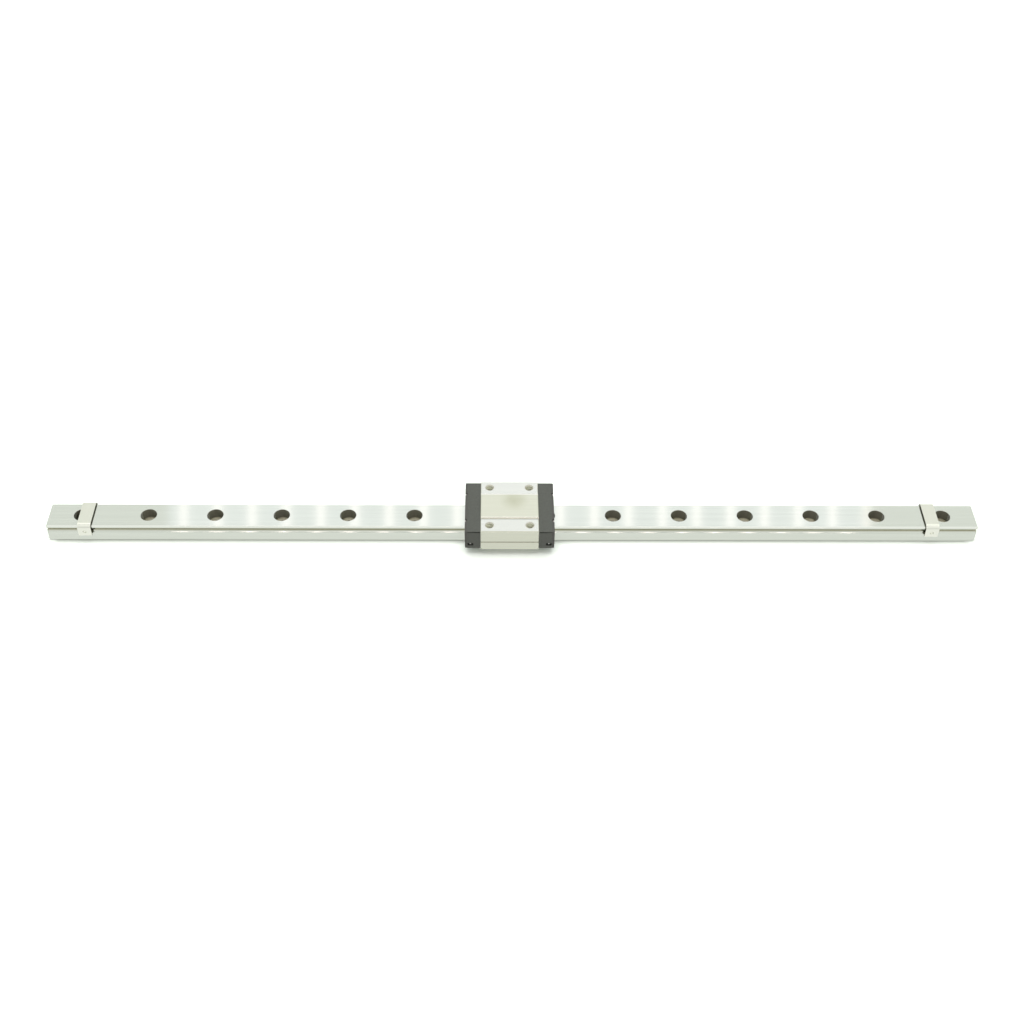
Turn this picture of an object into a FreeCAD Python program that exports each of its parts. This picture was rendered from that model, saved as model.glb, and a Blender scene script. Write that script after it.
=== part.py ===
# Miniature linear guide, size 12: a drilled rail, a recirculating ball carriage and two stop clips.
# Millimetres. X runs along the rail, Y across it and Z up from the floor that the rail lies on.
# Heights on the carriage and the clips are given as a rise above the rail's top or a drop below it.
import FreeCAD, Part
import math
import os

# Rail
rail_length = 350.0
rail_width = 12.0
rail_height = 7.5
rail_top_chamfer = 0.45
rail_bottom_chamfer = 0.4
rail_end_chamfer = 0.35
hole_pitch = 25.0
hole_diameter = 3.5
counterbore_diameter = 6.0
counterbore_depth = 4.5
counterbore_chamfer = 0.1

# Ball track, shared by rail, block, caps, seals, clips, balls and retainers
ball_diameter = 2.381
ball_play = 0.06
ball_spacing_gap = 0.1
ball_row_drop = 2.17
ball_row_outset = 0.35
return_offset = 3.4
relief_height = 0.8
track_lip_chamfer = 0.12

# Retainer wire
wire_diameter = 0.5
wire_ball_gap = 0.05
wire_relief_gap = 0.15
wire_bend_radius = 0.8
wire_hole_gap = 0.15
wire_end_setback = 0.4

# Carriage block
carriage_x = -1.64
carriage_rise = 5.5
carriage_width = 27.0
block_length = 21.6
block_drop = 4.4
block_top_chamfer = 0.5
block_foot_chamfer = 0.15
block_end_chamfer = 0.2
block_top_gap = 0.6
land_width = 13.6
land_height = 0.5
land_edge_run = 1.0
side_line_drop = 0.5
side_line_width = 0.55
side_line_depth = 0.3
mount_pitch_x = 15.0
mount_pitch_y = 20.0
mount_tap_drill = 2.5
mount_mouth_diameter = 3.3
mount_depth = 4.0
mount_tip_height = 0.75

# End caps
cap_length = 5.0
cap_side_step = 0.5
cap_rise = 4.5
cap_drop = 4.2
cap_edge_radius = 0.15
cap_rail_gap = 0.45
rebate_top_drop = 0.2
rebate_height = 0.4
rebate_depth = 0.5
rebate_length = 3.0
rebate_thin_depth = 0.2
window_length = 2.05
window_height = 1.3
window_depth = 1.1
window_end_distance = 1.17

# End seals
seal_thickness = 0.9
seal_inset = 0.06
seal_edge_radius = 0.3
seal_rail_gap = 0.1

# Cap screws
screw_pitch = 14.0
screw_rise = 3.25
screw_head_diameter = 2.0
screw_head_height = 0.65
screw_head_setback = 0.1
screw_shank_diameter = 1.2
screw_reach = 3.5
screw_head_gap = 0.3
screw_hole_gap = 0.2
screw_tap_gap = 0.025
screw_slot_length = 1.3
screw_slot_width = 0.35
screw_slot_depth = 0.4

# Stop clips
clip_width = 5.0
clip_thickness = 0.45
clip_left_inset = 14.35
clip_right_inset = 17.35
clip_top_gap = 0.45
clip_side_gap = 0.35
clip_bend_radius = 1.45
clip_leg_drop = 4.15
clip_dimple_depth = 0.6
clip_dimple_radius = 1.1

# Values that follow from the ones above
ball_radius = ball_diameter / 2
race_radius = ball_radius + ball_play
ball_y = rail_width / 2 + ball_row_outset
ball_z = rail_height - ball_row_drop
return_y = ball_y + return_offset
wire_radius = wire_diameter / 2
wire_y = ball_y - ball_radius - wire_ball_gap - wire_radius
block_end_x = carriage_x + block_length / 2
cap_end_x = block_end_x + cap_length
seal_end_x = cap_end_x + seal_thickness
window_x = cap_end_x - window_end_distance
land_top = rail_height + carriage_rise
strip_top = land_top - land_height
cap_half = carriage_width / 2 - cap_side_step
cap_top = rail_height + cap_rise
cap_bottom = rail_height - cap_drop
screw_y = screw_pitch / 2
screw_z = rail_height + screw_rise
screw_end_x = seal_end_x - screw_head_setback
screw_seat_x = screw_end_x - screw_head_height


def vec(x, y, z):
    return FreeCAD.Vector(x, y, z)


def prism_x(points, x0, x1):
    # A bar along X from the corners of its section.
    corners = [vec(x0, y, z) for y, z in points]
    return Part.Face(Part.makePolygon(corners + corners[:1])).extrude(vec(x1 - x0, 0, 0))


def rod_x(y, z, radius, x0, x1):
    return Part.makeCylinder(radius, x1 - x0, vec(x0, y, z), vec(1, 0, 0))


def brick(x0, x1, y0, y1, z0, z1):
    return Part.makeBox(x1 - x0, y1 - y0, z1 - z0, vec(x0, y0, z0))


def turned_z(x, y, outline):
    # A turned cutter about a vertical axis, from its outline of radius and height.
    corners = [vec(x + r, y, z) for r, z in outline]
    face = Part.Face(Part.makePolygon(corners + corners[:1]))
    return face.revolve(vec(x, y, 0), vec(0, 0, 1), 360)


def flip_y(shape):
    return shape.mirror(vec(0, 0, 0), vec(0, 1, 0))


def flip_carriage(shape):
    # The same piece at the other end of the carriage.
    return shape.mirror(vec(carriage_x, 0, 0), vec(1, 0, 0))


def both_sides(tools):
    return tools + [flip_y(tool) for tool in tools]


def rail_section(gap):
    # The rail's outline without its tracks, grown by a gap, down to the floor.
    half = rail_width / 2 + gap
    top = rail_height + gap
    cut = rail_top_chamfer + gap * (2 - math.sqrt(2))
    right = [(half, 0), (half, top - cut), (half - cut, top)]
    return right + [(-y, z) for y, z in reversed(right)]


def make_rail():
    end = rail_length / 2
    half = rail_width / 2
    blank = brick(-end, end, -half, half, 0, rail_height)
    rims = [e for e in blank.Edges if e.BoundBox.XLength < 1e-6]
    bar = blank.makeChamfer(rail_end_chamfer, rims).common(prism_x(rail_section(0), -end, end))
    foot = [(half - rail_bottom_chamfer, 0), (half, 0), (half, rail_bottom_chamfer)]
    relief = relief_height / 2
    slot_y = wire_y - wire_radius - wire_relief_gap + relief
    lip_z = ball_z - math.sqrt(race_radius ** 2 - (ball_y - half) ** 2)
    # The chamfer on the track's lower lip runs in as far as the track leaves it open.
    lip_foot = lip_z - track_lip_chamfer
    run = (half - ball_y + ball_z - lip_foot) / 2
    lip = [(half - run, lip_foot + run), (half, lip_foot), (half, lip_foot + run)]
    tools = [prism_x(foot, -end, end), prism_x(lip, -end, end)]
    tools.append(rod_x(ball_y, ball_z, race_radius, -end, end))
    tools.append(brick(-end, end, slot_y, ball_y, ball_z - relief, ball_z + relief))
    tools.append(rod_x(slot_y, ball_z, relief, -end, end))
    bore = hole_diameter / 2
    head = counterbore_diameter / 2
    floor = rail_height - counterbore_depth
    rim = rail_height - counterbore_chamfer
    above = rail_height + 1
    outline = [(0, -1), (bore, -1), (bore, floor), (head, floor)]
    outline += [(head, rim), (head + above - rim, above), (0, above)]
    count = int(rail_length / hole_pitch + 1e-6)
    holes = [turned_z((i - (count - 1) / 2) * hole_pitch, 0, outline) for i in range(count)]
    return bar.cut(both_sides(tools) + holes).removeSplitter()


def block_half_section(x):
    # Half of the block's section: rounded land on top, datum line on the side, channel for the rail inside.
    side = carriage_width / 2
    land = land_width / 2
    flat = land - land_edge_run
    radius = (land_edge_run ** 2 + land_height ** 2) / (2 * land_height)
    turn = math.asin(min(1, land_edge_run / radius)) / 2
    bulge = vec(x, flat + radius * math.sin(turn), land_top - radius * (1 - math.cos(turn)))
    top = block_top_chamfer
    foot = block_foot_chamfer
    bottom = rail_height - block_drop
    line_z = rail_height - side_line_drop
    line = side_line_width / 2
    channel = rail_height + block_top_gap
    points = [(land, strip_top), (side - top, strip_top), (side, strip_top - top), (side, line_z + line)]
    points += [(side - side_line_depth, line_z), (side, line_z - line), (side, bottom + foot)]
    points += [(side - foot, bottom), (ball_y, bottom), (ball_y, channel), (0, channel)]
    points += [(0, land_top), (flat, land_top)]
    corners = [vec(x, y, z) for y, z in points]
    edges = [Part.Arc(corners[-1], bulge, corners[0]).toShape()]
    edges += [Part.LineSegment(a, b).toShape() for a, b in zip(corners, corners[1:])]
    return Part.Face(Part.Wire(edges))


def wedge(x, along, corner, length):
    # A cutter for the small chamfer where a long edge of the block meets its right end.
    c = block_end_chamfer
    y, z = corner
    if along == "y":
        points = [vec(x - c, y, z), vec(x + 1, y, z + 1 + c), vec(x + 1, y, z - c - 1)]
        return Part.Face(Part.makePolygon(points + points[:1])).extrude(vec(0, length, 0))
    points = [vec(x - c, y, z), vec(x + 1, y + 1 + c, z), vec(x + 1, y - c - 1, z)]
    return Part.Face(Part.makePolygon(points + points[:1])).extrude(vec(0, 0, length))


def make_block():
    left_x = block_end_x - block_length
    half = block_half_section(left_x).extrude(vec(block_length, 0, 0))
    body = half.fuse(flip_y(half)).removeSplitter()
    side = carriage_width / 2
    land = land_width / 2
    tools = [rod_x(y, ball_z, race_radius, left_x - 1, block_end_x + 1) for y in (ball_y, return_y)]
    tap = screw_shank_diameter / 2 + screw_tap_gap
    ends = [rod_x(screw_y, screw_z, tap, block_end_x - screw_reach - 0.5, block_end_x + 1)]
    ends.append(wedge(block_end_x, "y", (land, strip_top), side - land))
    ends.append(wedge(block_end_x, "y", (0, land_top), land))
    foot = rail_height - block_drop
    ends.append(wedge(block_end_x, "z", (side, foot), strip_top - foot))
    tools += ends + [flip_carriage(tool) for tool in ends]
    drill = mount_tap_drill / 2
    mouth = mount_mouth_diameter / 2
    bottom = strip_top - mount_depth
    rim = strip_top - (mouth - drill)
    above = strip_top + 1
    outline = [(0, bottom - mount_tip_height), (drill, bottom), (drill, rim)]
    outline += [(drill + above - rim, above), (0, above)]
    tools += [turned_z(carriage_x + i * mount_pitch_x / 2, mount_pitch_y / 2, outline) for i in (-1, 1)]
    return body.cut(both_sides(tools)).removeSplitter()


def screw_head_room():
    # The counterbore round a screw's head, which breaks out through the top of the seal.
    return rod_x(screw_y, screw_z, screw_head_diameter / 2 + screw_head_gap, screw_seat_x, seal_end_x + 1)


def make_cap():
    body = brick(block_end_x, cap_end_x, -cap_half, cap_half, cap_bottom, cap_top)
    rims = [e for e in body.Edges if e.BoundBox.YLength < 1e-6 and e.BoundBox.ZMin > cap_top - 1e-6]
    body = body.makeFillet(cap_edge_radius, rims)
    turn_radius = return_offset / 2
    rebate_top = cap_top - rebate_top_drop
    rebate_foot = rebate_top - rebate_height
    beyond = cap_half + 1
    window = window_length / 2
    sill = ball_z - window_height / 2
    turn_centre = vec(block_end_x, ball_y + turn_radius, ball_z)
    tools = [Part.makeTorus(turn_radius, race_radius, turn_centre, vec(0, 0, 1))]
    deep = cap_half - rebate_depth
    thin = cap_half - rebate_thin_depth
    tools.append(brick(block_end_x - 1, block_end_x + rebate_length, deep, beyond, rebate_foot, rebate_top))
    tools.append(brick(block_end_x, cap_end_x + 1, thin, beyond, rebate_foot, rebate_top))
    inner = cap_half - window_depth
    tools.append(brick(window_x - window, window_x + window, inner, beyond, sill, sill + window_height))
    wire_hole = wire_radius + wire_hole_gap
    tools.append(Part.makeCylinder(wire_hole, cap_half, vec(window_x, 0, ball_z), vec(0, 1, 0)))
    hole = screw_shank_diameter / 2 + screw_hole_gap
    tools.append(rod_x(screw_y, screw_z, hole, block_end_x - 1, cap_end_x))
    tools.append(screw_head_room())
    channel = prism_x(rail_section(cap_rail_gap), block_end_x - 1, cap_end_x + 1)
    return body.cut(both_sides(tools) + [channel]).removeSplitter()


def make_seal():
    half = cap_half - seal_inset
    plate = brick(cap_end_x, seal_end_x, -half, half, cap_bottom + seal_inset, cap_top - seal_inset)
    rim = [e for e in plate.Edges if e.BoundBox.XMin > seal_end_x - 1e-6]
    plate = plate.makeFillet(seal_edge_radius, rim)
    opening = prism_x(rail_section(seal_rail_gap), cap_end_x - 1, seal_end_x + 1)
    lip = rod_x(ball_y, ball_z, race_radius - seal_rail_gap, cap_end_x - 2, seal_end_x + 2)
    hole = screw_shank_diameter / 2 + screw_hole_gap
    shank_hole = rod_x(screw_y, screw_z, hole, cap_end_x - 1, seal_end_x + 1)
    tools = both_sides([screw_head_room(), shank_hole]) + [opening.cut(both_sides([lip]))]
    return plate.cut(tools).removeSplitter()


def make_screw():
    shank = rod_x(screw_y, screw_z, screw_shank_diameter / 2, block_end_x - screw_reach, screw_seat_x)
    head = rod_x(screw_y, screw_z, screw_head_diameter / 2, screw_seat_x, screw_end_x)
    reach = screw_slot_length / 2
    thin = screw_slot_width / 2
    bed = screw_end_x - screw_slot_depth
    flat = brick(bed, screw_end_x + 1, screw_y - reach, screw_y + reach, screw_z - thin, screw_z + thin)
    tall = brick(bed, screw_end_x + 1, screw_y - thin, screw_y + thin, screw_z - reach, screw_z + reach)
    return shank.fuse(head).cut([flat, tall]).removeSplitter()


def make_ball_row():
    # The balls under load in one track, along the length of the block.
    pitch = ball_diameter + ball_spacing_gap
    count = int(block_length / pitch)
    places = [carriage_x + (i - (count - 1) / 2) * pitch for i in range(count)]
    return Part.makeCompound([Part.makeSphere(ball_radius, vec(x, ball_y, ball_z)) for x in places])


def make_retainer():
    # A bent wire that keeps the balls in when the carriage is off the rail.
    # Its ends show in the caps' windows.
    far = window_x
    near = 2 * carriage_x - window_x
    out = cap_half - wire_end_setback
    r = wire_bend_radius
    k = r * (1 - math.sqrt(0.5))

    def at(x, y):
        return vec(x, y, ball_z)

    edges = [Part.LineSegment(at(near, out), at(near, wire_y + r)).toShape()]
    edges.append(Part.Arc(at(near, wire_y + r), at(near + k, wire_y + k), at(near + r, wire_y)).toShape())
    edges.append(Part.LineSegment(at(near + r, wire_y), at(far - r, wire_y)).toShape())
    edges.append(Part.Arc(at(far - r, wire_y), at(far - k, wire_y + k), at(far, wire_y + r)).toShape())
    edges.append(Part.LineSegment(at(far, wire_y + r), at(far, out)).toShape())
    ring = Part.Wire(Part.makeCircle(wire_radius, at(near, out), vec(0, 1, 0)))
    return Part.Wire(edges).makePipeShell([ring], True, False)


def make_clip(x):
    # A strip bent over the rail, with a shallow dimple pressed in each leg that rests in the track's mouth.
    inner_y = rail_width / 2 + clip_side_gap
    inner_z = rail_height + clip_top_gap
    outer_y = inner_y + clip_thickness
    leg_z = rail_height - clip_leg_drop
    x0 = x - clip_width / 2
    x1 = x + clip_width / 2

    def saddle(half, top, radius):
        box = brick(x0, x1, -half, half, leg_z, top)
        bends = [e for e in box.Edges if e.BoundBox.YLength < 1e-6 and e.BoundBox.ZMin > top - 1e-6]
        return box.makeFillet(radius, bends)

    outer = saddle(outer_y, inner_z + clip_thickness, clip_bend_radius + clip_thickness)
    strip = outer.cut(saddle(inner_y, inner_z, clip_bend_radius))
    centre = vec(x, inner_y - clip_dimple_depth + clip_dimple_radius, ball_z)
    bulge = Part.makeSphere(clip_dimple_radius, centre)
    bulge = bulge.common(brick(x0, x1, 0, inner_y + clip_thickness / 2, leg_z, inner_z))
    dent = Part.makeSphere(clip_dimple_radius - clip_thickness, centre)
    return strip.fuse(both_sides([bulge])).cut(both_sides([dent])).removeSplitter()


cap = make_cap()
seal = make_seal()
screw = make_screw()
balls = make_ball_row()
retainer = make_retainer()
pieces = {
    "rail": make_rail(),
    "stop_clip_left": make_clip(clip_left_inset - rail_length / 2),
    "stop_clip_right": make_clip(rail_length / 2 - clip_right_inset),
    "carriage_block": make_block(),
    "end_cap_right": cap,
    "end_cap_left": flip_carriage(cap),
    "end_seal_right": seal,
    "end_seal_left": flip_carriage(seal),
    "cap_screw_right_back": screw,
    "cap_screw_right_front": flip_y(screw),
    "cap_screw_left_back": flip_carriage(screw),
    "cap_screw_left_front": flip_carriage(flip_y(screw)),
    "ball_row_back": balls,
    "ball_row_front": flip_y(balls),
    "ball_retainer_back": retainer,
    "ball_retainer_front": flip_y(retainer),
}
os.makedirs("parts", exist_ok=True)
for name, shape in pieces.items():
    print(name, shape.isValid(), len(shape.Solids), round(shape.Volume, 3))
    shape.exportStep("parts/" + name + ".step")
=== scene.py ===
# Looks for a miniature linear guide: a drilled steel rail, a ball carriage and two bent stop clips.
# Every length is in metres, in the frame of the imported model.
import math

import bpy
from mathutils import Matrix, Vector


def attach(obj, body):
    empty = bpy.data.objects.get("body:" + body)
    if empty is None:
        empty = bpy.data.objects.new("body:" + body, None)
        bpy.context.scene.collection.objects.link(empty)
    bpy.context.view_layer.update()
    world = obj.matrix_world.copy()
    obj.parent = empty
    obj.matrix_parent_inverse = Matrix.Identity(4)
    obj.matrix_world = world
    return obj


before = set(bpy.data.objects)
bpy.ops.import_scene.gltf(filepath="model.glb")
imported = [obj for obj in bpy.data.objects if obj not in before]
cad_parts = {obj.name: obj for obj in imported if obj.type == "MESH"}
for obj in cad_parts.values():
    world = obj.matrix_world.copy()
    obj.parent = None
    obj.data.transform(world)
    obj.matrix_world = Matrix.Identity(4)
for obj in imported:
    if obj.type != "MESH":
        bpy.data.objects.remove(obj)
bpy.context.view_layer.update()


# Rail
# A straight bar of hardened stainless steel, drilled and counterbored from above for its screws.
# Its top, sides and ball tracks are ground lengthwise; the screw holes keep a drilled wall, painted darker as
# shade.
MM = 0.001
RAIL_HALF = 6.0 * MM
RAIL_TOP = 7.5 * MM
TOP_CHAMFER = 0.45 * MM
FOOT_CHAMFER = 0.4 * MM
HOLE_PITCH = 25 * MM
COUNTERBORE_RADIUS = 3.0 * MM
COUNTERBORE_SEAT = 3.0 * MM
TRACK_HEIGHT = 5.33 * MM
TRACK_LIP = 6.6 * MM
TRACK_DEPTH = 1.7 * MM


def linear(hex_colour):
    # An sRGB hex colour as the linear RGBA that sockets take.
    levels = [int(hex_colour[i:i + 2], 16) / 255 for i in (1, 3, 5)]
    return [v / 12.92 if v <= 0.04045 else ((v + 0.055) / 1.055) ** 2.4 for v in levels] + [1.0]


def add_node(tree, kind, sockets=None, **settings):
    # One shader node with its settings; each socket takes a value or another node's output.
    made = tree.nodes.new("ShaderNode" + kind)
    for name, value in settings.items():
        setattr(made, name, value)
    for name, value in (sockets or {}).items():
        if isinstance(value, bpy.types.NodeSocket):
            tree.links.new(value, made.inputs[name])
        else:
            made.inputs[name].default_value = value
    return made


def new_finish(name, **sockets):
    # A material with one surface shader, whose plain values are set on its own sockets.
    made = bpy.data.materials.new(name)
    made.use_nodes = True
    made.node_tree.nodes.clear()
    surface = add_node(made.node_tree, "BsdfPrincipled",
                       {key.replace("_", " "): value for key, value in sockets.items()})
    add_node(made.node_tree, "OutputMaterial", {"Surface": surface.outputs["BSDF"]})
    return made, made.node_tree, surface


def dress(finish, *nodes):
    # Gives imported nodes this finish.
    for name in nodes:
        for material_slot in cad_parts[name].material_slots:
            material_slot.material = finish


# A Mix node's sockets go by number: two colours and the colour that it gives, or two plain values.
FROM, INTO, MIXED = 6, 7, 2
PLAIN_FROM, PLAIN_INTO = 2, 3
# Margins within which a spot still counts as on a face or in a hole, and how squarely a face has to
# look along an axis to count as an end or an edge.
FACE_SKIN = 0.02 * MM
FACE_MARGIN = 0.05 * MM
SQUARELY = 0.9

# Ground stainless steel: pale, faintly green-grey, with highlights drawn out across the grinding lines.
# The lines are about 0.05 mm apart on the real bar and are drawn 0.35 mm wide so that they show.
GRIND_WIDTH = 0.35 * MM
GRIND_LENGTH = 45 * MM
GRIND_DEPTH = 0.02 * MM
GRIND_STRENGTH = 0.08
# Along the rail, a hair off the axis so that the end faces have a direction too.
GRIND_WAY = (1.0, 0.002, 0.001)
GROUND_LIGHT = linear("#DDE3D8")
GROUND_DARK = linear("#CBD1C5")
GROUND_SMOOTHEST = 0.09
GROUND_ROUGHEST = 0.15
# Painted highlight on the burnished top chamfers.
EDGE_BURNISH_AND_HIGHLIGHT = linear("#E8ECE2")
DRILLED_WALL_SHADED = linear("#807F6F")
DRILLED_SEAT = linear("#DDDBC2")
DRILLED_ROUGHNESS = 0.55
SEAT_METALLIC = 0.3
SEAT_FADE = 0.8 * MM
# The ball track's darker tone is painted shade under its lip, with old oil.
TRACK_OIL_AND_SHADE = linear("#C6C7B5")
TRACK_SHADE_START = TRACK_HEIGHT - 1.0 * MM
TRACK_SHADE_FULL = TRACK_HEIGHT - 0.45 * MM
# Painted shade along the foot, where the rail meets the floor.
FOOT_PAINTED_SHADE = linear("#A6A89C")
SAWN_LIGHT = linear("#C9CBC0")
SAWN_DARK = linear("#A4A69B")
SAWN_ROUGHNESS = 0.4
SAW_WIDTH = 0.25 * MM
SAW_LENGTH = 9 * MM

rail_steel, tree, steel = new_finish("ground_stainless_steel", Anisotropic=1.0)
place = add_node(tree, "TexCoord").outputs["Object"]
axes = add_node(tree, "SeparateXYZ", {0: place})
stretched = add_node(tree, "Mapping", {"Vector": place,
                                       "Scale": (1 / GRIND_LENGTH, 1 / GRIND_WIDTH, 1 / GRIND_WIDTH)})
lines = add_node(tree, "TexNoise", {"Vector": stretched.outputs[0], "Scale": 1.0, "Detail": 4.0,
                                    "Roughness": 0.65})
ground = add_node(tree, "Mix", {0: lines.outputs[0], FROM: GROUND_DARK, INTO: GROUND_LIGHT},
                  data_type="RGBA")
# Distance from the nearest hole's axis, by wrapping X at the hole pitch.
cell = add_node(tree, "Math", {0: axes.outputs["X"], 1: HOLE_PITCH}, operation="DIVIDE")
part_cell = add_node(tree, "Math", {0: cell.outputs[0]}, operation="FRACT")
along = add_node(tree, "Math", {0: part_cell.outputs[0], 1: HOLE_PITCH, 2: -HOLE_PITCH / 2},
                 operation="MULTIPLY_ADD")
flat = add_node(tree, "CombineXYZ", {"X": along.outputs[0], "Y": axes.outputs["Y"]})
from_axis = add_node(tree, "VectorMath", {0: flat.outputs[0]}, operation="LENGTH")
in_hole = add_node(tree, "Math", {0: from_axis.outputs["Value"], 1: COUNTERBORE_RADIUS + FACE_MARGIN},
                   operation="LESS_THAN")
# The counterbore's wall is painted dark as shade and turns paler toward its seat, which is left matt by the
# cutter's end.
to_seat = add_node(tree, "MapRange", {"Value": axes.outputs["Z"], "From Min": COUNTERBORE_SEAT + SEAT_FADE,
                                      "From Max": COUNTERBORE_SEAT}, interpolation_type="SMOOTHSTEP")
in_bore = add_node(tree, "Math", {0: axes.outputs["Z"], 1: COUNTERBORE_SEAT - 2 * FACE_MARGIN},
                   operation="GREATER_THAN")
at_seat = add_node(tree, "Math", {0: to_seat.outputs[0], 1: in_bore.outputs[0]}, operation="MULTIPLY")
drilled = add_node(tree, "Mix", {0: at_seat.outputs[0], FROM: DRILLED_WALL_SHADED, INTO: DRILLED_SEAT},
                   data_type="RGBA")
walls = add_node(tree, "Mix", {0: in_hole.outputs[0], FROM: ground.outputs[MIXED],
                               INTO: drilled.outputs[MIXED]}, data_type="RGBA")
# The chamfer along each top edge is burnished by handling and carries a painted highlight: there half width
# and height add up the same.
off_centre = add_node(tree, "Math", {0: axes.outputs["Y"]}, operation="ABSOLUTE")
across_up = add_node(tree, "Math", {0: off_centre.outputs[0], 1: axes.outputs["Z"]}, operation="ADD")
on_edge = add_node(tree, "Math", {0: across_up.outputs[0], 1: RAIL_HALF + RAIL_TOP - TOP_CHAMFER,
                                  2: 2 * FACE_SKIN}, operation="COMPARE")
edges_with_painted_light = add_node(tree, "Mix", {0: on_edge.outputs[0], FROM: walls.outputs[MIXED], INTO: EDGE_BURNISH_AND_HIGHLIGHT},
                 data_type="RGBA")
# The ball track is painted darker from below its middle up to the lip, as shade under the lip together with
# old oil, and the edge along the floor is painted dark as shade.
in_track = add_node(tree, "Math", {0: off_centre.outputs[0], 1: RAIL_HALF - (TRACK_DEPTH + FACE_SKIN) / 2,
                                   2: (TRACK_DEPTH - FACE_SKIN) / 2}, operation="COMPARE")
above = add_node(tree, "MapRange", {"Value": axes.outputs["Z"], "From Min": TRACK_SHADE_START, "From Max": TRACK_SHADE_FULL})
under_lip = add_node(tree, "Math", {0: axes.outputs["Z"], 1: TRACK_LIP}, operation="LESS_THAN")
upper = add_node(tree, "Math", {0: above.outputs[0], 1: under_lip.outputs[0]}, operation="MULTIPLY")
oil_and_shade = add_node(tree, "Math", {0: upper.outputs[0], 1: in_track.outputs[0]}, operation="MULTIPLY")
tracks = add_node(tree, "Mix", {0: oil_and_shade.outputs[0], FROM: edges_with_painted_light.outputs[MIXED], INTO: TRACK_OIL_AND_SHADE},
                  data_type="RGBA")
at_foot = add_node(tree, "Math", {0: axes.outputs["Z"], 1: FOOT_CHAMFER}, operation="LESS_THAN")
foot_shaded = add_node(tree, "Mix", {0: at_foot.outputs[0], FROM: tracks.outputs[MIXED], INTO: FOOT_PAINTED_SHADE},
                  data_type="RGBA")
# The ends are cut off by an abrasive wheel, which leaves them duller, with marks that run up and down.
facing = add_node(tree, "SeparateXYZ", {0: add_node(tree, "TexCoord").outputs["Normal"]})
endways = add_node(tree, "Math", {0: facing.outputs["X"]}, operation="ABSOLUTE")
at_end = add_node(tree, "Math", {0: endways.outputs[0], 1: SQUARELY}, operation="GREATER_THAN")
upright = add_node(tree, "Mapping", {"Vector": place,
                                     "Scale": (1 / SAW_LENGTH, 1 / SAW_WIDTH, 1 / SAW_LENGTH)})
saw_marks = add_node(tree, "TexNoise", {"Vector": upright.outputs[0], "Scale": 1.0, "Detail": 3.0})
sawn = add_node(tree, "Mix", {0: saw_marks.outputs[0], FROM: SAWN_DARK, INTO: SAWN_LIGHT}, data_type="RGBA")
tone = add_node(tree, "Mix", {0: at_end.outputs[0], FROM: foot_shaded.outputs[MIXED], INTO: sawn.outputs[MIXED]},
                data_type="RGBA")
tree.links.new(tone.outputs[MIXED], steel.inputs["Base Color"])
matt = add_node(tree, "Math", {0: at_seat.outputs[0], 1: in_hole.outputs[0]}, operation="MULTIPLY")
bare = add_node(tree, "MapRange", {"Value": matt.outputs[0], "To Min": 1.0, "To Max": SEAT_METALLIC})
tree.links.new(bare.outputs[0], steel.inputs["Metallic"])
shine = add_node(tree, "MapRange", {"Value": lines.outputs[0], "To Min": GROUND_SMOOTHEST,
                                    "To Max": GROUND_ROUGHEST})
rough_hole = add_node(tree, "Mix", {0: in_hole.outputs[0], PLAIN_FROM: shine.outputs[0],
                                    PLAIN_INTO: DRILLED_ROUGHNESS})
rough_end = add_node(tree, "Mix", {0: at_end.outputs[0], PLAIN_FROM: rough_hole.outputs[0],
                                   PLAIN_INTO: SAWN_ROUGHNESS})
tree.links.new(rough_end.outputs[0], steel.inputs["Roughness"])
normal = add_node(tree, "NewGeometry").outputs["Normal"]
across = add_node(tree, "VectorMath", {0: GRIND_WAY, 1: normal}, operation="CROSS_PRODUCT")
tree.links.new(across.outputs[0], steel.inputs["Tangent"])
cuts = add_node(tree, "Mix", {0: at_end.outputs[0], PLAIN_FROM: lines.outputs[0],
                              PLAIN_INTO: saw_marks.outputs[0]})
scratches = add_node(tree, "Bump", {"Height": cuts.outputs[0], "Strength": GRIND_STRENGTH,
                                    "Distance": GRIND_DEPTH})
tree.links.new(scratches.outputs[0], steel.inputs["Normal"])
dress(rail_steel, "rail")


# Carriage block
# The steel saddle that carries the load, with a raised land between two ground screw strips.
# Hardened, the strips ground bright, the land and sides duller; four holes tapped for M3 screws.
BLOCK_CENTRE = -1.64 * MM
BLOCK_HALF = 13.5 * MM
BLOCK_FOOT = 3.1 * MM
STRIP_TOP = 12.5 * MM
LAND_HALF = 6.8 * MM
LAND_ROUND = 1.0 * MM
DATUM_LINE = 7.0 * MM
DATUM_LINE_HALF = 0.24 * MM
DATUM_LINE_DEPTH = 0.4 * MM
SCREW_PLACE = (7.5 * MM, 10 * MM, 0)
MOUTH_RADIUS = 1.68 * MM
BORE_RADIUS = 1.25 * MM
BORE_MARGIN = 0.03 * MM

# Ground block steel: bright strips, a duller and warmer land with a rubbed patch, plain drawn sides.
# Grinding lines run along the rail and are drawn as coarse as the rail's.
STRIP_LIGHT = linear("#DFE3D9")
STRIP_DARK = linear("#CCD0C5")
STRIP_ROUGHNESS = 0.22
LAND_LIGHT = linear("#DCDFCD")
LAND_DARK = linear("#C9CCB8")
LAND_ROUGHNESS = 0.36
RUB_TONE = linear("#BEC1A8")
RUB_PLACE = (0.2 * MM, 2.6 * MM, 13 * MM)
RUB_RADIUS = 6.5 * MM
RUB_FAINTEST = 0.5
WEAR_SIZE = 4 * MM
WEAR_LOW = 0.25
WEAR_HIGH = 0.65
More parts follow.
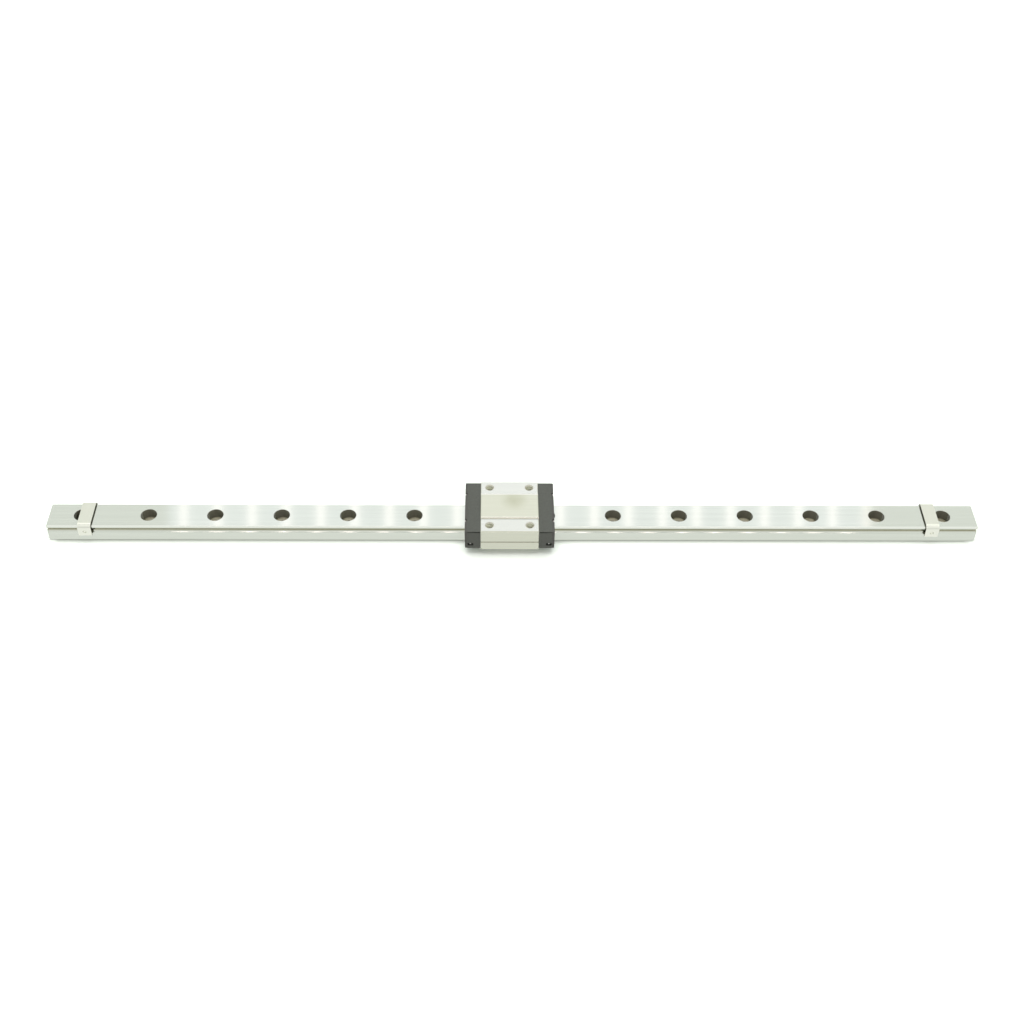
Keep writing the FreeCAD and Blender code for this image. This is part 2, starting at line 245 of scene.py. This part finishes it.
# The land's rounded edges: the front one painted a little darker as shade, the back one pale as a painted
# highlight.
FRONT_ROUND_SHADED = linear("#D8DACA")
BACK_ROUND_HIGHLIGHT = linear("#F6F7F1")
LAND_FOOT_SHADE = linear("#8A8B7C")
LAND_FOOT_SHADE_HALF = 0.12 * MM
SIDE_LIGHT = linear("#DADDCC")
SIDE_DARK = linear("#C6C9B7")
DATUM_LINE_SHADE_AND_DUST = linear("#8C8D7B")
MOUTH_CONE = linear("#CDCDBE")
TAPPED_WALL = linear("#F0F1E2")
TAPPED_ROUGHNESS = 0.5
UNDERSIDE_SCALE = linear("#9C9B90")

block_steel, tree, steel = new_finish("ground_block_steel", Metallic=1.0, Anisotropic=0.6)
place = add_node(tree, "TexCoord").outputs["Object"]
axes = add_node(tree, "SeparateXYZ", {0: place})
stretched = add_node(tree, "Mapping", {"Vector": place,
                                       "Scale": (1 / GRIND_LENGTH, 1 / GRIND_WIDTH, 1 / GRIND_WIDTH)})
lines = add_node(tree, "TexNoise", {"Vector": stretched.outputs[0], "Scale": 1.0, "Detail": 4.0,
                                    "Roughness": 0.65})
wear = add_node(tree, "TexNoise", {"Vector": place, "Scale": 1 / WEAR_SIZE, "Detail": 3.0})
strips = add_node(tree, "Mix", {0: lines.outputs[0], FROM: STRIP_DARK, INTO: STRIP_LIGHT}, data_type="RGBA")
sides = add_node(tree, "Mix", {0: lines.outputs[0], FROM: SIDE_DARK, INTO: SIDE_LIGHT}, data_type="RGBA")
to_rub = add_node(tree, "VectorMath", {0: place, 1: RUB_PLACE}, operation="DISTANCE")
nearness = add_node(tree, "MapRange", {"Value": to_rub.outputs["Value"], "From Max": RUB_RADIUS,
                                       "To Min": 1.0, "To Max": 0.0}, interpolation_type="SMOOTHSTEP")
patchy = add_node(tree, "MapRange", {"Value": wear.outputs[0], "From Min": WEAR_LOW, "From Max": WEAR_HIGH,
                                     "To Min": RUB_FAINTEST})
rubbed = add_node(tree, "Math", {0: nearness.outputs[0], 1: patchy.outputs[0]}, operation="MULTIPLY")
lapped = add_node(tree, "Mix", {0: lines.outputs[0], FROM: LAND_DARK, INTO: LAND_LIGHT}, data_type="RGBA")
land = add_node(tree, "Mix", {0: rubbed.outputs[0], FROM: lapped.outputs[MIXED], INTO: RUB_TONE},
                data_type="RGBA")
# Where each face lies: the land, its rounded edges, the painted shade at its front foot, the strips and the
# sides.
off_centre = add_node(tree, "Math", {0: axes.outputs["Y"]}, operation="ABSOLUTE")
near_middle = add_node(tree, "Math", {0: off_centre.outputs[0], 1: LAND_HALF - LAND_ROUND},
                       operation="LESS_THAN")
on_round = add_node(tree, "Math", {0: off_centre.outputs[0], 1: LAND_HALF - LAND_ROUND / 2,
                                   2: LAND_ROUND / 2}, operation="COMPARE")
at_edge = add_node(tree, "Math", {0: axes.outputs["Y"], 1: -LAND_HALF - FACE_SKIN, 2: LAND_FOOT_SHADE_HALF},
                   operation="COMPARE")
below_top = add_node(tree, "Math", {0: axes.outputs["Z"], 1: STRIP_TOP - FACE_SKIN}, operation="LESS_THAN")
top = add_node(tree, "Mix", {0: near_middle.outputs[0], FROM: strips.outputs[MIXED],
                             INTO: land.outputs[MIXED]}, data_type="RGBA")
# Painted highlight on the back round and painted shade on the front round.
behind = add_node(tree, "Math", {0: axes.outputs["Y"], 1: 0.0}, operation="GREATER_THAN")
rounds_painted_light = add_node(tree, "Mix", {0: behind.outputs[0], FROM: FRONT_ROUND_SHADED, INTO: BACK_ROUND_HIGHLIGHT}, data_type="RGBA")
edges_with_painted_light = add_node(tree, "Mix", {0: on_round.outputs[0], FROM: top.outputs[MIXED], INTO: rounds_painted_light.outputs[MIXED]},
                 data_type="RGBA")
foot_shaded = add_node(tree, "Mix", {0: at_edge.outputs[0], FROM: edges_with_painted_light.outputs[MIXED], INTO: LAND_FOOT_SHADE},
                  data_type="RGBA")
whole = add_node(tree, "Mix", {0: below_top.outputs[0], FROM: foot_shaded.outputs[MIXED],
                               INTO: sides.outputs[MIXED]}, data_type="RGBA")
# The scribed datum line on each side is painted dark, as its shade together with dust.
on_line = add_node(tree, "Math", {0: axes.outputs["Z"], 1: DATUM_LINE, 2: DATUM_LINE_HALF},
                   operation="COMPARE")
at_side = add_node(tree, "Math", {0: off_centre.outputs[0], 1: BLOCK_HALF - DATUM_LINE_DEPTH},
                   operation="GREATER_THAN")
in_line = add_node(tree, "Math", {0: on_line.outputs[0], 1: at_side.outputs[0]}, operation="MULTIPLY")
line_shade_and_dust = add_node(tree, "Mix", {0: in_line.outputs[0], FROM: whole.outputs[MIXED], INTO: DATUM_LINE_SHADE_AND_DUST},
                 data_type="RGBA")
# Each tapped hole has a dull countersunk mouth and a brighter cut wall; one fold finds all four.
from_middle = add_node(tree, "VectorMath", {0: place, 1: (-BLOCK_CENTRE, 0, 0)}, operation="ADD")
folded = add_node(tree, "VectorMath", {0: from_middle.outputs[0]}, operation="ABSOLUTE")
to_screw = add_node(tree, "VectorMath", {0: folded.outputs[0], 1: SCREW_PLACE}, operation="SUBTRACT")
level_way = add_node(tree, "VectorMath", {0: to_screw.outputs[0], 1: (1, 1, 0)}, operation="MULTIPLY")
from_axis = add_node(tree, "VectorMath", {0: level_way.outputs[0]}, operation="LENGTH")
in_hole = add_node(tree, "Math", {0: from_axis.outputs["Value"], 1: MOUTH_RADIUS}, operation="LESS_THAN")
in_bore = add_node(tree, "Math", {0: from_axis.outputs["Value"], 1: BORE_RADIUS + BORE_MARGIN},
                   operation="LESS_THAN")
drilled = add_node(tree, "Mix", {0: in_bore.outputs[0], FROM: MOUTH_CONE, INTO: TAPPED_WALL},
                   data_type="RGBA")
holed = add_node(tree, "Mix", {0: in_hole.outputs[0], FROM: line_shade_and_dust.outputs[MIXED],
                               INTO: drilled.outputs[MIXED]}, data_type="RGBA")
# The underside isn't ground and keeps its dark scale from hardening.
beneath = add_node(tree, "Math", {0: axes.outputs["Z"], 1: BLOCK_FOOT + FACE_MARGIN}, operation="LESS_THAN")
tone = add_node(tree, "Mix", {0: beneath.outputs[0], FROM: holed.outputs[MIXED], INTO: UNDERSIDE_SCALE},
                data_type="RGBA")
tree.links.new(tone.outputs[MIXED], steel.inputs["Base Color"])
shine = add_node(tree, "Mix", {0: near_middle.outputs[0], PLAIN_FROM: STRIP_ROUGHNESS,
                               PLAIN_INTO: LAND_ROUGHNESS})
cut = add_node(tree, "Mix", {0: in_hole.outputs[0], PLAIN_FROM: shine.outputs[0],
                             PLAIN_INTO: TAPPED_ROUGHNESS})
tree.links.new(cut.outputs[0], steel.inputs["Roughness"])
normal = add_node(tree, "NewGeometry").outputs["Normal"]
across = add_node(tree, "VectorMath", {0: GRIND_WAY, 1: normal}, operation="CROSS_PRODUCT")
tree.links.new(across.outputs[0], steel.inputs["Tangent"])
scratches = add_node(tree, "Bump", {"Height": lines.outputs[0], "Strength": GRIND_STRENGTH,
                                    "Distance": GRIND_DEPTH})
tree.links.new(scratches.outputs[0], steel.inputs["Normal"])
dress(block_steel, "carriage_block")


# Tapped threads
# The M3 threads cut into the block's four mounting holes, from just under the countersunk mouth.
# Each is a ridge wound down the tapping bore, of the block's own steel.
THREAD_PITCH = 0.5 * MM
THREAD_HEIGHT = 0.14 * MM
THREAD_START = 0.75 * MM
THREAD_TURNS = 6
STEPS_PER_TURN = 36
# Half the width of the ridge's foot, in pitches, and the turns over which it rises and runs out.
FOOT_HALF = 0.4
RUN_OUT = 0.5

# Cut thread: fresh metal with a film of cutting oil, faintly torn by the tap.
CUT_LIGHT = linear("#EEEFE0")
CUT_DARK = linear("#D8D9C9")
TEAR_SIZE = 0.3 * MM

thread_steel, tree, steel = new_finish("cut_thread_steel", Metallic=1.0, Roughness=0.38)
place = add_node(tree, "TexCoord").outputs["Object"]
torn = add_node(tree, "TexNoise", {"Vector": place, "Scale": 1 / TEAR_SIZE, "Detail": 3.0})
tint = add_node(tree, "Mix", {0: torn.outputs[0], FROM: CUT_DARK, INTO: CUT_LIGHT}, data_type="RGBA")
tree.links.new(tint.outputs[MIXED], steel.inputs["Base Color"])

for side_x, end in ((-1, "left"), (1, "right")):
    for side_y, edge in ((-1, "front"), (1, "back")):
        mouth = Vector((BLOCK_CENTRE + side_x * SCREW_PLACE[0], side_y * SCREW_PLACE[1],
                        STRIP_TOP - THREAD_START))
        corners = []
        faces = []
        # Three corners at each step down the bore: the ridge's upper foot, its crest and its lower foot.
        for step in range(THREAD_TURNS * STEPS_PER_TURN + 1):
            turn = step / STEPS_PER_TURN
            out = Vector((math.cos(2 * math.pi * turn), math.sin(2 * math.pi * turn), 0))
            fade = min(1, turn / RUN_OUT, (THREAD_TURNS - turn) / RUN_OUT)
            for reach, rise in ((0, FOOT_HALF), (THREAD_HEIGHT * fade, 0), (0, -FOOT_HALF)):
                drop = Vector((0, 0, (rise - turn) * THREAD_PITCH))
                corners.append(mouth + out * (BORE_RADIUS - reach) + drop)
        for first in range(0, len(corners) - 3, 3):
            for a, b in ((0, 1), (1, 2), (2, 0)):
                faces.append((first + a, first + b, first + 3 + b, first + 3 + a))
        last = len(corners)
        faces += [(2, 1, 0), (last - 3, last - 2, last - 1)]
        thread_mesh = bpy.data.meshes.new("tapped_thread_%s_%s" % (end, edge))
        thread_mesh.from_pydata(corners, [], faces)
        thread_mesh.materials.append(thread_steel)
        thread = bpy.data.objects.new(thread_mesh.name, thread_mesh)
        bpy.context.scene.collection.objects.link(thread)
        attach(thread, "carriage")


# Balls
# Two rows of bearing balls under load, which roll between the rail's tracks and the block's.
# Hardened chrome steel, ground and lapped to a mirror.
BALL_LIGHT = linear("#E8EAEC")
BALL_DARK = linear("#DCDEDF")
BALL_SMOOTHEST = 0.05
BALL_ROUGHEST = 0.12
OIL_PATCH = 0.8 * MM

# Lapped bearing steel: a clear mirror with a trace of oil.
ball_steel, tree, steel = new_finish("lapped_bearing_steel", Metallic=1.0)
place = add_node(tree, "TexCoord").outputs["Object"]
oil = add_node(tree, "TexNoise", {"Vector": place, "Scale": 1 / OIL_PATCH, "Detail": 2.0})
tint = add_node(tree, "Mix", {0: oil.outputs[0], FROM: BALL_DARK, INTO: BALL_LIGHT}, data_type="RGBA")
tree.links.new(tint.outputs[MIXED], steel.inputs["Base Color"])
shine = add_node(tree, "MapRange", {"Value": oil.outputs[0], "To Min": BALL_SMOOTHEST,
                                    "To Max": BALL_ROUGHEST})
tree.links.new(shine.outputs[0], steel.inputs["Roughness"])
dress(ball_steel, "ball_row_back", "ball_row_front")


# Retainer wires
# Two bent wires that keep the balls in the carriage when it is off the rail.
# Drawn spring wire, held by the caps; its ends show in their side windows.
WIRE_LIGHT = linear("#D9D9D4")
WIRE_DARK = linear("#B9B8B0")
DRAW_WIDTH = 0.1 * MM
DRAW_LENGTH = 4 * MM

# Drawn spring wire: bright grey with fine draw lines.
# The lines are about 0.02 mm apart on the real wire and are drawn 0.1 mm wide so that they show.
wire_steel, tree, steel = new_finish("drawn_spring_wire", Metallic=1.0, Roughness=0.28)
place = add_node(tree, "TexCoord").outputs["Object"]
stretched = add_node(tree, "Mapping", {"Vector": place,
                                       "Scale": (1 / DRAW_LENGTH, 1 / DRAW_WIDTH, 1 / DRAW_WIDTH)})
lines = add_node(tree, "TexNoise", {"Vector": stretched.outputs[0], "Scale": 1.0, "Detail": 2.0})
tint = add_node(tree, "Mix", {0: lines.outputs[0], FROM: WIRE_DARK, INTO: WIRE_LIGHT}, data_type="RGBA")
tree.links.new(tint.outputs[MIXED], steel.inputs["Base Color"])
dress(wire_steel, "ball_retainer_back", "ball_retainer_front")


# End caps
# Black caps screwed to the block's ends; inside they turn the balls back into the return bores.
# Injection moulded in glass-filled nylon with a fine spark-eroded texture.
CAP_LIGHT = linear("#62665D")
CAP_DARK = linear("#3D4138")
MOULD_GRAIN = 0.45 * MM
PIT_DEPTH = 0.03 * MM
PIT_STRENGTH = 0.25

# Moulded black nylon: dark olive grey under strong light, matt, with a fine even grain.
# The real grain is about 0.05 mm and is drawn 0.45 mm wide so that it shows.
cap_nylon, tree, nylon = new_finish("moulded_black_nylon", IOR=1.53, Roughness=0.5)
place = add_node(tree, "TexCoord").outputs["Object"]
grain = add_node(tree, "TexNoise", {"Vector": place, "Scale": 1 / MOULD_GRAIN, "Detail": 2.0})
tint = add_node(tree, "Mix", {0: grain.outputs[0], FROM: CAP_DARK, INTO: CAP_LIGHT}, data_type="RGBA")
tree.links.new(tint.outputs[MIXED], nylon.inputs["Base Color"])
pits = add_node(tree, "Bump", {"Height": grain.outputs[0], "Strength": PIT_STRENGTH, "Distance": PIT_DEPTH})
tree.links.new(pits.outputs[0], nylon.inputs["Normal"])
dress(cap_nylon, "end_cap_left", "end_cap_right")


# End seals
# Thin wiper plates on the outer ends, held by the cap screws, with a lip that follows the rail.
# Moulded nitrile rubber on a stiff core, slightly greyer than the caps.
SEAL_LIGHT = linear("#5E5F59")
SEAL_DARK = linear("#4E4F4A")
BLOOM = 0.6 * MM
SKIN_DEPTH = 0.03 * MM
SKIN_STRENGTH = 0.15

# Moulded nitrile rubber: soft dark grey with a faint bloom and almost no shine.
seal_rubber, tree, rubber = new_finish("moulded_nitrile_rubber", IOR=1.52, Roughness=0.7)
place = add_node(tree, "TexCoord").outputs["Object"]
bloom = add_node(tree, "TexNoise", {"Vector": place, "Scale": 1 / BLOOM, "Detail": 4.0})
tint = add_node(tree, "Mix", {0: bloom.outputs[0], FROM: SEAL_DARK, INTO: SEAL_LIGHT}, data_type="RGBA")
tree.links.new(tint.outputs[MIXED], rubber.inputs["Base Color"])
skin = add_node(tree, "Bump", {"Height": bloom.outputs[0], "Strength": SKIN_STRENGTH, "Distance": SKIN_DEPTH})
tree.links.new(skin.outputs[0], rubber.inputs["Normal"])
dress(seal_rubber, "end_seal_left", "end_seal_right")


# Cap screws
# Four small cross-recess screws that hold seal and cap to the block, heads sunk in the seal.
# Headed and thread-rolled steel, nickel plated.
HEAD_FACE = 16.6 * MM
RECESS_DEPTH = 0.4 * MM
NICKEL_LIGHT = linear("#E2E0DA")
NICKEL_DARK = linear("#CFCCC3")
RECESS_SHADE_AND_DUST = linear("#5F5C54")
WAVE_SIZE = 0.5 * MM
WAVE_DEPTH = 0.02 * MM
WAVE_STRENGTH = 0.1

# Bright nickel plate: warm white metal with slight waviness from heading.
screw_nickel, tree, nickel = new_finish("bright_nickel_plate", Metallic=1.0, Roughness=0.2)
place = add_node(tree, "TexCoord").outputs["Object"]
waves = add_node(tree, "TexNoise", {"Vector": place, "Scale": 1 / WAVE_SIZE, "Detail": 2.0})
plate = add_node(tree, "Mix", {0: waves.outputs[0], FROM: NICKEL_DARK, INTO: NICKEL_LIGHT}, data_type="RGBA")
# The driver recess is painted darker toward its bed, as shade together with dust and old oil.
axes = add_node(tree, "SeparateXYZ", {0: place})
from_centre = add_node(tree, "Math", {0: axes.outputs["X"], 1: BLOCK_CENTRE}, operation="SUBTRACT")
outward = add_node(tree, "Math", {0: from_centre.outputs[0]}, operation="ABSOLUTE")
depth = add_node(tree, "MapRange", {"Value": outward.outputs[0], "From Min": HEAD_FACE - FACE_MARGIN,
                                    "From Max": HEAD_FACE - RECESS_DEPTH})
tint = add_node(tree, "Mix", {0: depth.outputs[0], FROM: plate.outputs[MIXED], INTO: RECESS_SHADE_AND_DUST},
                data_type="RGBA")
tree.links.new(tint.outputs[MIXED], nickel.inputs["Base Color"])
ripple = add_node(tree, "Bump", {"Height": waves.outputs[0], "Strength": WAVE_STRENGTH,
                                 "Distance": WAVE_DEPTH})
tree.links.new(ripple.outputs[0], nickel.inputs["Normal"])
dress(screw_nickel, "cap_screw_left_back", "cap_screw_left_front",
      "cap_screw_right_back", "cap_screw_right_front")


# Stop clips
# Two strips of spring steel bent over the rail once the carriage is on it, one near each end.
# A dimple in each leg snaps into the ball track. Rolled sheet, left as it came from the press.
BEND_TOP = 8.33 * MM
ROLLED_LIGHT = linear("#E0E3D4")
ROLLED_DARK = linear("#DADDCD")
ROLLED_SMOOTHEST = 0.26
ROLLED_ROUGHEST = 0.32
ROLL_WIDTH = 0.4 * MM
ROLL_LENGTH = 6 * MM
ROLL_DEPTH = 0.01 * MM
ROLL_STRENGTH = 0.05
SHEARED_EDGE = linear("#6C6859")
SHEARED_ROUGHNESS = 0.5
BURNISH_AND_HIGHLIGHT = linear("#EBEEE0")

# Rolled spring steel: warm pale grey with faint roll marks along the strip, and dark, torn sheared edges.
clip_steel, tree, steel = new_finish("rolled_spring_steel", Metallic=1.0)
surface = add_node(tree, "TexCoord")
stretched = add_node(tree, "Mapping", {"Vector": surface.outputs["Object"],
                                       "Scale": (1 / ROLL_WIDTH, 1 / ROLL_LENGTH, 1 / ROLL_LENGTH)})
marks = add_node(tree, "TexNoise", {"Vector": stretched.outputs[0], "Scale": 1.0, "Detail": 3.0})
rolled = add_node(tree, "Mix", {0: marks.outputs[0], FROM: ROLLED_DARK, INTO: ROLLED_LIGHT},
                  data_type="RGBA")
facing = add_node(tree, "SeparateXYZ", {0: surface.outputs["Normal"]})
sideways = add_node(tree, "Math", {0: facing.outputs["X"]}, operation="ABSOLUTE")
sheared = add_node(tree, "Math", {0: sideways.outputs[0], 1: SQUARELY}, operation="GREATER_THAN")
# The legs and bends are burnished from being pushed over the rail, and painted paler as a highlight on the
# bend.
heights = add_node(tree, "SeparateXYZ", {0: surface.outputs["Object"]})
on_leg = add_node(tree, "Math", {0: heights.outputs["Z"], 1: BEND_TOP}, operation="LESS_THAN")
legs_burnish_and_highlight = add_node(tree, "Mix", {0: on_leg.outputs[0], FROM: rolled.outputs[MIXED], INTO: BURNISH_AND_HIGHLIGHT},
                data_type="RGBA")
tint = add_node(tree, "Mix", {0: sheared.outputs[0], FROM: legs_burnish_and_highlight.outputs[MIXED], INTO: SHEARED_EDGE},
                data_type="RGBA")
tree.links.new(tint.outputs[MIXED], steel.inputs["Base Color"])
shine = add_node(tree, "MapRange", {"Value": marks.outputs[0], "To Min": ROLLED_SMOOTHEST,
                                    "To Max": ROLLED_ROUGHEST})
torn = add_node(tree, "Mix", {0: sheared.outputs[0], PLAIN_FROM: shine.outputs[0],
                              PLAIN_INTO: SHEARED_ROUGHNESS})
tree.links.new(torn.outputs[0], steel.inputs["Roughness"])
ripples = add_node(tree, "Bump", {"Height": marks.outputs[0], "Strength": ROLL_STRENGTH,
                                  "Distance": ROLL_DEPTH})
tree.links.new(ripples.outputs[0], steel.inputs["Normal"])
dress(clip_steel, "stop_clip_left", "stop_clip_right")


# Floor
# A sheet of white card that the guide lies on, much wider than the picture.
# It is overexposed to full white where it is seen, so that only the contact shadow is left on it.
FLOOR_HALF = 3.0
FLOOR_TONE = linear("#F0F1EC")
FLOOR_EXPOSURE = 1.62
FLOOR_SEEN = [FLOOR_EXPOSURE * level for level in linear("#F7FFF7")[:3]] + [1.0]
FLOOR_CONTACT_SHADOW = linear("#E3EAE1")
FLOOR_MIRRORED = linear("#707070")
MIRRORED_LIFT = 0.84
RAIL_FOOT = (171 * MM, 5.6 * MM, 0)
CONTACT_SHADOW_REACH = 2.4 * MM
FADE_START = 0.3
FADE_END = 1.2

floor_mesh = bpy.data.meshes.new("floor")
floor_mesh.from_pydata([(-FLOOR_HALF, -FLOOR_HALF, 0), (FLOOR_HALF, -FLOOR_HALF, 0),
                        (FLOOR_HALF, FLOOR_HALF, 0), (-FLOOR_HALF, FLOOR_HALF, 0)], [], [(0, 1, 2, 3)])
floor = bpy.data.objects.new("floor", floor_mesh)
bpy.context.scene.collection.objects.link(floor)

# White card: matt. In what metal mirrors it is an even white, and far off it fades into the studio's white.
card, tree, paper = new_finish("white_card", Roughness=0.9, Emission_Color=linear("#FFFFFF"))
seen = add_node(tree, "LightPath")
mirrored = add_node(tree, "Math", {0: seen.outputs["Is Glossy Ray"], 1: seen.outputs["Is Transmission Ray"]},
                    operation="MAXIMUM")
indirect = add_node(tree, "Mix", {0: mirrored.outputs[0], FROM: FLOOR_TONE, INTO: FLOOR_MIRRORED},
                    data_type="RGBA")
# A painted contact shadow darkens the card close along the rail's foot, but not round its ends.
spot = add_node(tree, "TexCoord").outputs["Object"]
folded = add_node(tree, "VectorMath", {0: spot}, operation="ABSOLUTE")
outside = add_node(tree, "VectorMath", {0: folded.outputs[0], 1: RAIL_FOOT}, operation="SUBTRACT")
ways = add_node(tree, "SeparateXYZ", {0: outside.outputs[0]})
from_foot = add_node(tree, "Math", {0: ways.outputs["X"], 1: ways.outputs["Y"]}, operation="MAXIMUM")
out_of_shadow = add_node(tree, "MapRange", {"Value": from_foot.outputs[0], "From Max": CONTACT_SHADOW_REACH})
shown = add_node(tree, "Mix", {0: out_of_shadow.outputs[0], FROM: FLOOR_CONTACT_SHADOW, INTO: FLOOR_SEEN}, data_type="RGBA")
tone = add_node(tree, "Mix", {0: seen.outputs["Is Camera Ray"], FROM: indirect.outputs[MIXED],
                              INTO: shown.outputs[MIXED]}, data_type="RGBA")
tree.links.new(tone.outputs[MIXED], paper.inputs["Base Color"])
from_object = add_node(tree, "VectorMath", {0: spot}, operation="LENGTH")
far = add_node(tree, "MapRange", {"Value": from_object.outputs["Value"], "From Min": FADE_START,
                                  "From Max": FADE_END})
far_seen = add_node(tree, "Math", {0: far.outputs[0], 1: seen.outputs["Is Camera Ray"]},
                    operation="MULTIPLY")
lift = add_node(tree, "Math", {0: mirrored.outputs[0], 1: MIRRORED_LIFT, 2: far_seen.outputs[0]},
                operation="MULTIPLY_ADD")
tree.links.new(lift.outputs[0], paper.inputs["Emission Strength"])
floor_mesh.materials.append(card)


# Studio
# A room that is white all round where it is seen, and lights the object more softly than that.
# In what metal mirrors it is duller low at the front, where it opens, and at its grey ceiling.
ROOM_WHITE = linear("#FFFFFF")
ROOM_LIGHT = 0.42
OPENING_WAY = (0, -1, 0)
OPENING_START = 0.75
OPENING_DULL = 0.3
CEILING_WAY = (0, 0, 1)
CEILING_START = 0.9
CEILING_FULL = 0.985
CEILING_DULL = 0.6

bpy.context.scene.view_settings.view_transform = "Standard"
world = bpy.data.worlds.new("studio")
bpy.context.scene.world = world
world.use_nodes = True
tree = world.node_tree
tree.nodes.clear()
seen = add_node(tree, "LightPath")
either = add_node(tree, "Math", {0: seen.outputs["Is Camera Ray"], 1: seen.outputs["Is Glossy Ray"]},
                  operation="MAXIMUM")
any_of = add_node(tree, "Math", {0: either.outputs[0], 1: seen.outputs["Is Transmission Ray"]},
                  operation="MAXIMUM")
level = add_node(tree, "MapRange", {"Value": any_of.outputs[0], "To Min": ROOM_LIGHT, "To Max": 1.0})
way = add_node(tree, "TexCoord").outputs["Generated"]
to_front = add_node(tree, "VectorMath", {0: way, 1: OPENING_WAY}, operation="DOT_PRODUCT")
opening = add_node(tree, "MapRange", {"Value": to_front.outputs["Value"], "From Min": OPENING_START,
                                      "To Max": OPENING_DULL}, interpolation_type="SMOOTHSTEP")
to_top = add_node(tree, "VectorMath", {0: way, 1: CEILING_WAY}, operation="DOT_PRODUCT")
ceiling = add_node(tree, "MapRange", {"Value": to_top.outputs["Value"], "From Min": CEILING_START,
                                      "From Max": CEILING_FULL, "To Max": CEILING_DULL},
                   interpolation_type="SMOOTHSTEP")
duller = add_node(tree, "Math", {0: opening.outputs[0], 1: ceiling.outputs[0]}, operation="ADD")
dulled = add_node(tree, "Math", {0: duller.outputs[0], 1: seen.outputs["Is Glossy Ray"]},
                  operation="MULTIPLY")
strength = add_node(tree, "Math", {0: level.outputs[0], 1: dulled.outputs[0]}, operation="SUBTRACT")
sky = add_node(tree, "Background", {"Color": ROOM_WHITE, "Strength": strength.outputs[0]})
add_node(tree, "OutputWorld", {"Surface": sky.outputs[0]})


# Lamps
# A plain panel overhead and two softboxes, with two rows of narrow strips along the rail.
# The row behind bands the rail's top, and the row above glints in its ball tracks.
STRIP_COUNT = 21
STRIP_TINT = "#FFE7EE"
STRIP_ROWS = (("back", Vector((15.8, 355, 345)) * MM,
               {"pitch": 24.7 * MM, "width": 6 * MM, "height": 160 * MM, "brightness": 0.52}),
              ("top", Vector((8.5, -190, 462)) * MM,
               {"pitch": 24.2 * MM, "width": 4 * MM, "height": 280 * MM, "brightness": 3.3}))


def lamp(name, place, aim, width, height, brightness, tint="#FFFFFF"):
    # A flat lamp panel facing a point; its brightness adds to the studio's white in what metal mirrors.
    light = bpy.data.lights.new(name, "AREA")
    light.shape = "RECTANGLE"
    light.size = width
    light.size_y = height
    light.energy = math.pi * width * height * brightness
    light.color = linear(tint)[:3]
    made = bpy.data.objects.new(name, light)
    made.location = place
    made.rotation_euler = (Vector(aim) - Vector(place)).to_track_quat("-Z", "Y").to_euler()
    made.visible_camera = False
    bpy.context.scene.collection.objects.link(made)
    return made


overhead = lamp("overhead_panel", place=(0, 0, 1.2), aim=(0, 0, 0), width=0.9, height=0.9, brightness=1.85)
overhead.visible_glossy = False
lamp("top_softbox", place=(0, 0.166, 0.783), aim=(0, 0, 0), width=1.6, height=0.38, brightness=0.8)
lamp("back_softbox", place=(0.01, 0.38, 0.37), aim=(0.01, 0, 0), width=0.52, height=0.25, brightness=0.24,
     tint="#DDDFFF")
for row_name, middle, strip in STRIP_ROWS:
    for number in range(STRIP_COUNT):
        stand = middle + Vector(((number - (STRIP_COUNT - 1) / 2) * strip["pitch"], 0, 0))
        lamp("%s_strip_%02d" % (row_name, number), place=stand, aim=(stand.x, 0, 0), width=strip["width"],
             height=strip["height"], brightness=strip["brightness"], tint=STRIP_TINT)


# Camera
# It stands at the photograph's viewing angle: 45 degrees above the floor, a degree left of square on,
# and rolled a little, with the whole rail in the frame.
LENS = 50.0
CLIP_START = 10 * MM
VIEW_TARGET = Vector((-0.691, 0.0, 9.38)) * MM
VIEW_DISTANCE = 536.2 * MM
VIEW_RISE = math.radians(45.0)
VIEW_TURN = math.radians(-1.043)
VIEW_ROLL = math.radians(0.840)

back = Vector((math.sin(VIEW_TURN) * math.cos(VIEW_RISE), -math.cos(VIEW_TURN) * math.cos(VIEW_RISE),
               math.sin(VIEW_RISE)))
level_right = (-back).cross(Vector((0, 0, 1))).normalized()
level_up = level_right.cross(-back)
right = level_right * math.cos(VIEW_ROLL) + level_up * math.sin(VIEW_ROLL)
up = level_up * math.cos(VIEW_ROLL) - level_right * math.sin(VIEW_ROLL)
camera_data = bpy.data.cameras.new("photo_camera")
camera_data.lens = LENS
camera_data.clip_start = CLIP_START
camera = bpy.data.objects.new("photo_camera", camera_data)
turn_to_view = Matrix((right, up, back)).transposed().to_4x4()
camera.matrix_world = Matrix.Translation(VIEW_TARGET + back * VIEW_DISTANCE) @ turn_to_view
bpy.context.scene.collection.objects.link(camera)
bpy.context.scene.camera = camera
